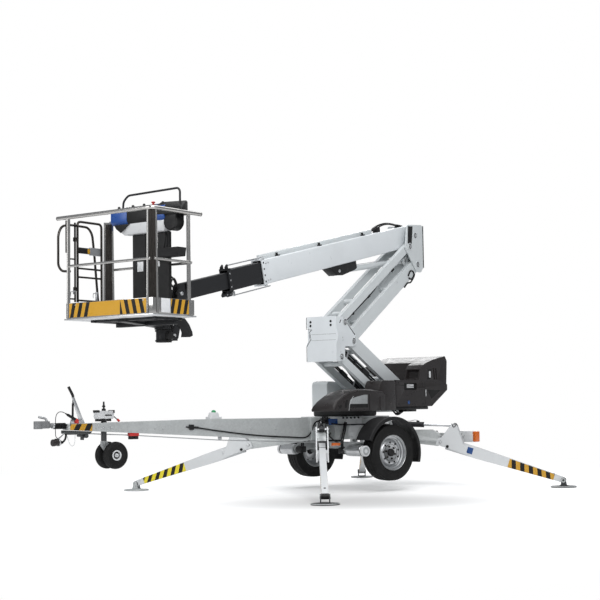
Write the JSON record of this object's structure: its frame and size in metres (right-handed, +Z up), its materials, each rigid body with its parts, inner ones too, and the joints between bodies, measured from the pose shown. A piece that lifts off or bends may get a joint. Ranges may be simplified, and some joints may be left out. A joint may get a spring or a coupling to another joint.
{
  "type": "towable boom lift",
  "caption": "Towable boom lift parked on its outriggers, with a folding parallelogram arm, a telescopic boom and a railed work platform.",
  "frame": {"origin": "on the ground under the middle of the object's bounding box", "axes": "+Z up, +X forwards to the tow hitch, +Y to the machine's left"},
  "size_m": [6.0759, 3.9118, 3.3129],
  "materials": {
    "white_paint": "satin",
    "grey_steel": "satin",
    "black_plastic": "satin",
    "black_steel": "satin",
    "tyre": "satin",
    "silver": "satin",
    "chrome": "satin",
    "polished": "satin",
    "rubber": "satin",
    "grey_plastic": "satin"
  },
  "bodies": {
    "chassis": {"chassis_frame": "grey_steel", "towbar": "grey_steel", "coupling_bellows": "rubber", "ball_coupling": "grey_steel", "brake_lever": "black_steel", "jockey_post": "grey_steel", "axle_beam": "grey_steel", "mudguard_left": "black_plastic", "mudguard_right": "black_plastic"},
    "road_wheel_left": {"tyre_left": "tyre", "wheel_rim_left": "silver"},
    "road_wheel_right": {"tyre_right": "tyre", "wheel_rim_right": "silver"},
    "jockey_fork": {"jockey_fork": "grey_steel"},
    "jockey_wheels": {"jockey_wheel_left": "tyre", "jockey_wheel_right": "tyre"},
    "leg_front_left": {"outrigger_leg_front_left": "white_paint", "foot_plate_front_left": "grey_steel"},
    "leg_barrel_front_left": {"outrigger_barrel_front_left": "black_steel"},
    "leg_rod_front_left": {"outrigger_rod_front_left": "chrome"},
    "leg_front_right": {"outrigger_leg_front_right": "white_paint", "foot_plate_front_right": "grey_steel"},
    "leg_barrel_front_right": {"outrigger_barrel_front_right": "black_steel"},
    "leg_rod_front_right": {"outrigger_rod_front_right": "chrome"},
    "leg_rear_left": {"outrigger_leg_rear_left": "white_paint", "foot_plate_rear_left": "grey_steel"},
    "leg_barrel_rear_left": {"outrigger_barrel_rear_left": "black_steel"},
    "leg_rod_rear_left": {"outrigger_rod_rear_left": "chrome"},
    "leg_rear_right": {"outrigger_leg_rear_right": "white_paint", "foot_plate_rear_right": "grey_steel"},
    "leg_barrel_rear_right": {"outrigger_barrel_rear_right": "black_steel"},
    "leg_rod_rear_right": {"outrigger_rod_rear_right": "chrome"},
    "turntable": {"turntable": "white_paint", "rear_hood": "black_plastic", "side_cover": "black_plastic", "far_cover": "white_paint"},
    "lower_arm": {"lower_arm": "white_paint"},
    "lower_link": {"lower_link": "white_paint"},
    "knuckle": {"middle_knuckle": "white_paint"},
    "upper_arm": {"upper_arm": "white_paint"},
    "upper_link": {"upper_link": "white_paint"},
    "top_knuckle": {"top_knuckle": "white_paint"},
    "boom": {"boom_outer": "white_paint"},
    "boom_stage_1": {"boom_middle": "black_steel"},
    "boom_stage_2": {"boom_inner": "black_steel"},
    "bracket": {"platform_bracket": "black_steel"},
    "platform": {"platform_floor": "black_steel", "platform_rails": "polished", "control_box": "black_plastic", "console_column": "black_steel", "tool_tray": "grey_plastic"},
    "entry_gate": {"entry_gate": "polished"},
    "lift_barrel": {"lift_cylinder_barrel": "black_steel"},
    "lift_rod": {"lift_cylinder_rod": "chrome"},
    "luff_barrel": {"luff_cylinder_barrel": "black_steel"},
    "luff_rod": {"luff_cylinder_rod": "chrome"}
  },
  "joints": [
    {"name": "road_wheel_left_spin", "type": "hinge", "parent": "chassis", "child": "road_wheel_left", "pos_m": [-1.129, 0.706, 0.444], "axis": [0, 1, 0], "continuous": true},
    {"name": "road_wheel_right_spin", "type": "hinge", "parent": "chassis", "child": "road_wheel_right", "pos_m": [-1.129, -0.706, 0.444], "axis": [0, 1, 0], "continuous": true},
    {"name": "jockey_swivel", "type": "hinge", "parent": "chassis", "child": "jockey_fork", "pos_m": [2.228, 0, 0.66], "axis": [0, 0, 1], "continuous": true},
    {"name": "jockey_spin", "type": "hinge", "parent": "jockey_fork", "child": "jockey_wheels", "pos_m": [2.138, 0, 0.512], "axis": [0, 1, 0], "continuous": true},
    {"name": "leg_front_left_swing", "type": "hinge", "parent": "chassis", "child": "leg_front_left", "pos_m": [-0.162, 0.68, 0.54], "axis": [0.7859, -0.6184, 0], "range_deg": [-6, 75]},
    {"name": "leg_front_left_barrel_swing", "type": "hinge", "parent": "chassis", "child": "leg_barrel_front_left", "pos_m": [-0.54539, 0.19275, 0.765], "axis": [0.7859, -0.6184, 0], "range_deg": [-0.5, 4]},
    {"name": "leg_front_left_rod_slide", "type": "slide", "parent": "leg_barrel_front_left", "child": "leg_rod_front_left", "axis": [0.6179, 0.7853, -0.0379], "range_m": [-0.32, 0.03]},
    {"name": "leg_front_right_swing", "type": "hinge", "parent": "chassis", "child": "leg_front_right", "pos_m": [-0.162, -0.68, 0.54], "axis": [-0.7859, -0.6184, 0], "range_deg": [-6, 75]},
    {"name": "leg_front_right_barrel_swing", "type": "hinge", "parent": "chassis", "child": "leg_barrel_front_right", "pos_m": [-0.54539, -0.19275, 0.765], "axis": [-0.7859, -0.6184, 0], "range_deg": [-0.5, 4]},
    {"name": "leg_front_right_rod_slide", "type": "slide", "parent": "leg_barrel_front_right", "child": "leg_rod_front_right", "axis": [0.6179, -0.7853, -0.0379], "range_m": [-0.32, 0.03]},
    {"name": "leg_rear_left_swing", "type": "hinge", "parent": "chassis", "child": "leg_rear_left", "pos_m": [-2.002, 0.68, 0.54], "axis": [0.7859, 0.6184, 0], "range_deg": [-6, 75]},
    {"name": "leg_rear_left_barrel_swing", "type": "hinge", "parent": "chassis", "child": "leg_barrel_rear_left", "pos_m": [-1.61861, 0.19275, 0.765], "axis": [0.7859, 0.6184, 0], "range_deg": [-0.5, 4]},
    {"name": "leg_rear_left_rod_slide", "type": "slide", "parent": "leg_barrel_rear_left", "child": "leg_rod_rear_left", "axis": [-0.6179, 0.7853, -0.0379], "range_m": [-0.32, 0.03]},
    {"name": "leg_rear_right_swing", "type": "hinge", "parent": "chassis", "child": "leg_rear_right", "pos_m": [-2.002, -0.68, 0.54], "axis": [-0.7859, 0.6184, 0], "range_deg": [-6, 75]},
    {"name": "leg_rear_right_barrel_swing", "type": "hinge", "parent": "chassis", "child": "leg_barrel_rear_right", "pos_m": [-1.61861, -0.19275, 0.765], "axis": [-0.7859, 0.6184, 0], "range_deg": [-0.5, 4]},
    {"name": "leg_rear_right_rod_slide", "type": "slide", "parent": "leg_barrel_rear_right", "child": "leg_rod_rear_right", "axis": [-0.6179, -0.7853, -0.0379], "range_m": [-0.32, 0.03]},
    {"name": "slew", "type": "hinge", "parent": "chassis", "child": "turntable", "pos_m": [-1.082, 0, 0.9], "axis": [0, 0, 1], "continuous": true},
    {"name": "lower_arm_lift", "type": "hinge", "parent": "turntable", "child": "lower_arm", "pos_m": [-2.05834, -0.2726, 1.16816], "axis": [0.2689, -0.9632, 0], "range_deg": [-13, 47]},
    {"name": "lower_link_swing", "type": "hinge", "parent": "turntable", "child": "lower_link", "pos_m": [-1.80792, -0.20268, 0.97816], "axis": [0.2689, -0.9632, 0], "range_deg": [-13.1, 47.1]},
    {"name": "knuckle_level", "type": "hinge", "parent": "lower_arm", "child": "knuckle", "pos_m": [-0.99532, 0.0242, 1.755], "axis": [0.2689, -0.9632, 0], "range_deg": [-47.1, 13.1]},
    {"name": "upper_arm_lift", "type": "hinge", "parent": "knuckle", "child": "upper_arm", "pos_m": [-0.99532, 0.0242, 1.755], "axis": [-0.2689, 0.9632, 0], "range_deg": [-13.1, 47.1]},
    {"name": "upper_link_swing", "type": "hinge", "parent": "knuckle", "child": "upper_link", "pos_m": [-0.82195, 0.07261, 1.975], "axis": [-0.2689, 0.9632, 0], "range_deg": [-13.1, 47.1]},
    {"name": "top_knuckle_level", "type": "hinge", "parent": "upper_arm", "child": "top_knuckle", "pos_m": [-2.52686, -0.40341, 2.78764], "axis": [-0.2689, 0.9632, 0], "range_deg": [-47.1, 13.1]},
    {"name": "lift_barrel_swing", "type": "hinge", "parent": "turntable", "child": "lift_barrel", "pos_m": [-1.65959, -0.16127, 1.07016], "axis": [0.2689, -0.9632, 0], "range_deg": [-16, 55]},
    {"name": "lift_rod_slide", "type": "slide", "parent": "lift_barrel", "child": "lift_rod", "axis": [0.7802, 0.2178, 0.5864], "range_m": [-0.06, 0.21]},
    {"name": "boom_luff", "type": "hinge", "parent": "top_knuckle", "child": "boom", "pos_m": [-2.4787, -0.38997, 3.15764], "axis": [-0.2689, 0.9632, 0], "range_deg": [-80, 0]},
    {"name": "boom_stage_1_slide", "type": "slide", "parent": "boom", "child": "boom_stage_1", "axis": [0.9408, 0.2627, -0.2142], "range_m": [0, 2.4]},
    {"name": "boom_stage_2_slide", "type": "slide", "parent": "boom_stage_1", "child": "boom_stage_2", "axis": [0.9408, 0.2627, -0.2142], "range_m": [0, 2.41]},
    {"name": "luff_barrel_swing", "type": "hinge", "parent": "top_knuckle", "child": "luff_barrel", "pos_m": [-2.36312, -0.3577, 2.82764], "axis": [-0.2689, 0.9632, 0], "range_deg": [-77.6, 0]},
    {"name": "luff_rod_slide", "type": "slide", "parent": "luff_barrel", "child": "luff_rod", "axis": [0.9516, 0.2657, -0.1544], "range_m": [0, 0.446]},
    {"name": "platform_level", "type": "hinge", "parent": "boom_stage_2", "child": "bracket", "pos_m": [1.82811, 0.81252, 2.16672], "axis": [-0.2689, 0.9632, 0], "range_deg": [-0.1, 80.1]},
    {"name": "platform_swivel", "type": "hinge", "parent": "bracket", "child": "platform", "pos_m": [2.0481, 0.87394, 1.89702], "axis": [0, 0, 1], "range_deg": [-90, 90]},
    {"name": "entry_gate_swing", "type": "hinge", "parent": "platform", "child": "entry_gate", "pos_m": [2.84456, 0.50348, 1.89702], "axis": [0, 0, -1], "range_deg": [0, 90]}
  ],
  "couplings": [
    {"joint": "leg_front_left_barrel_swing", "follows": "leg_front_left_swing", "ratio": 0.05},
    {"joint": "leg_front_left_rod_slide", "follows": "leg_front_left_swing", "m_per_rad": -0.2399},
    {"joint": "leg_front_right_barrel_swing", "follows": "leg_front_right_swing", "ratio": 0.05},
    {"joint": "leg_front_right_rod_slide", "follows": "leg_front_right_swing", "m_per_rad": -0.2399},
    {"joint": "leg_rear_left_barrel_swing", "follows": "leg_rear_left_swing", "ratio": 0.05},
    {"joint": "leg_rear_left_rod_slide", "follows": "leg_rear_left_swing", "m_per_rad": -0.2399},
    {"joint": "leg_rear_right_barrel_swing", "follows": "leg_rear_right_swing", "ratio": 0.05},
    {"joint": "leg_rear_right_rod_slide", "follows": "leg_rear_right_swing", "m_per_rad": -0.2399},
    {"joint": "lower_link_swing", "follows": "lower_arm_lift", "ratio": 1},
    {"joint": "knuckle_level", "follows": "lower_arm_lift", "ratio": -1},
    {"joint": "upper_arm_lift", "follows": "lower_arm_lift", "ratio": 1},
    {"joint": "upper_link_swing", "follows": "lower_arm_lift", "ratio": 1},
    {"joint": "top_knuckle_level", "follows": "lower_arm_lift", "ratio": -1},
    {"joint": "lift_barrel_swing", "follows": "lower_arm_lift", "ratio": 1.15},
    {"joint": "lift_rod_slide", "follows": "lower_arm_lift", "m_per_rad": 0.2426},
    {"joint": "boom_stage_2_slide", "follows": "boom_stage_1_slide", "ratio": 1},
    {"joint": "luff_barrel_swing", "follows": "boom_luff", "ratio": 0.968},
    {"joint": "luff_rod_slide", "follows": "boom_luff", "m_per_rad": -0.3186},
    {"joint": "platform_level", "follows": "boom_luff", "ratio": -1}
  ]
}
